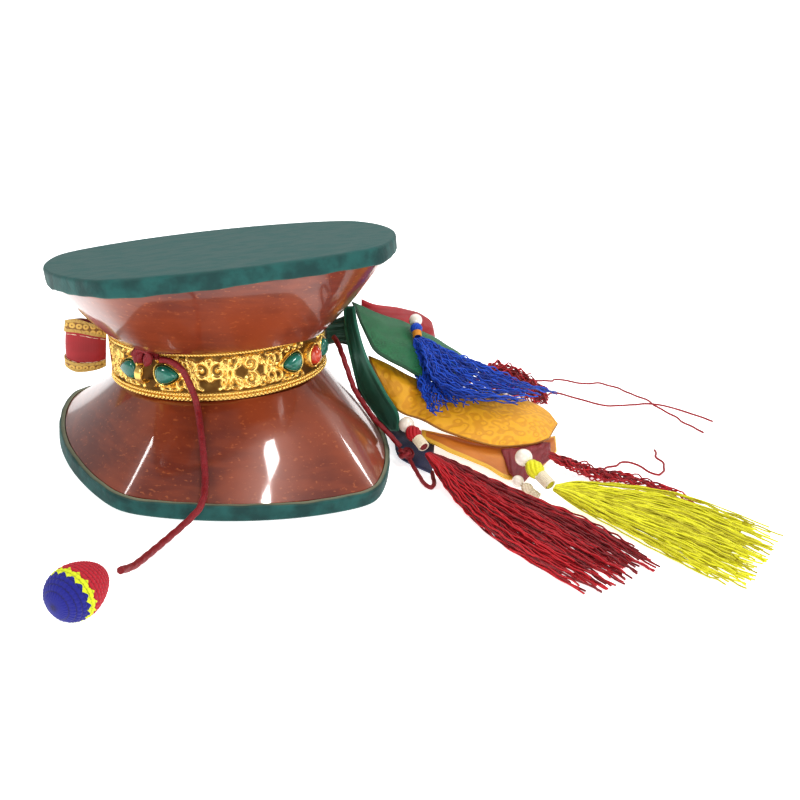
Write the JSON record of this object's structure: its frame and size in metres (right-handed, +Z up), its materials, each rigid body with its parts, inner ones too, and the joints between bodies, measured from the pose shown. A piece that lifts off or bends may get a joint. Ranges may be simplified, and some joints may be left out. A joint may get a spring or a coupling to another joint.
{
  "type": "damaru hand drum",
  "caption": "Small two-headed hourglass hand drum with an ornamented waist band, a striker on a cord, a hand strap and a tail of brocade lappets and thread tassels.",
  "frame": {"origin": "centre of the flat underside of the lower skin, on which the drum stands", "axes": "+Z up through the waist to the upper skin; +X towards the tail of lappets and tassels; -Y towards the front of the waist band, where the striker cord is tied"},
  "size_m": [0.3225, 0.2253, 0.0946],
  "materials": {
    "lacquered_wood": "glossy reddish-brown lacquer",
    "hide": "dyed teal-green hide, mottled and fibrous",
    "gilt_brass": "repousse sheet, gilt on the ridges and dark in the recesses",
    "turquoise": "polished cabochon",
    "coral": "polished cabochon",
    "crimson_cord": "tight braid",
    "striker_crochet": "crocheted yarn in crimson, lime and blue",
    "strap_satin": "red satin with gold brocade trim",
    "green_brocade": "dark green brocade, pleated",
    "green_satin": "satin",
    "mottled_green": "brocade mottled in greens",
    "red_satin": "satin",
    "yellow_brocade": "golden yellow brocade",
    "orange_satin": "satin",
    "dark_red_satin": "satin",
    "navy_satin": "satin",
    "pearl": "imitation pearl",
    "blue_thread": "loose threads",
    "red_thread": "loose twisted threads",
    "lemon_thread": "loose threads",
    "white_thread": "wound thread"
  },
  "bodies": {
    "root": {"lower_skin": "hide", "upper_skin": "hide", "lower_bowl": "lacquered_wood", "upper_bowl": "lacquered_wood", "waist_band": "gilt_brass", "cord_lug_front": "gilt_brass", "cord_lug_back": "gilt_brass", "turquoise_1": "turquoise", "turquoise_2": "turquoise", "turquoise_3": "turquoise", "turquoise_4": "turquoise", "turquoise_5": "turquoise", "turquoise_6": "turquoise", "turquoise_7": "turquoise", "turquoise_8": "turquoise", "coral_front": "coral", "coral_back": "coral", "striker_knot": "crimson_cord", "striker_cord": "crimson_cord", "striker_ball": "striker_crochet", "hand_strap": "strap_satin", "tail_neck": "green_brocade", "lappet_mottled_green": "mottled_green", "lappet_green_satin": "green_satin", "lappet_red": "red_satin", "lappet_yellow": "yellow_brocade", "lappet_orange": "orange_satin", "lappet_dark_red": "dark_red_satin", "lappet_navy": "navy_satin", "blue_tassel_pearl": "pearl", "blue_tassel_head": "blue_thread", "blue_tassel_threads": "blue_thread", "red_tassel_pearl": "pearl", "red_tassel_head": "red_thread", "red_tassel_threads": "red_thread", "yellow_tassel_pearl": "pearl", "yellow_tassel_head": "lemon_thread", "yellow_tassel_threads": "lemon_thread", "white_tassel_pearl": "pearl", "white_tassel_head": "white_thread", "far_red_tassel": "red_thread", "stray_thread_back": "red_thread", "stray_thread_front": "red_thread", "side_red_tassel": "red_thread", "tie_cord": "crimson_cord", "tie_knot": "crimson_cord"}
  },
  "joints": []
}
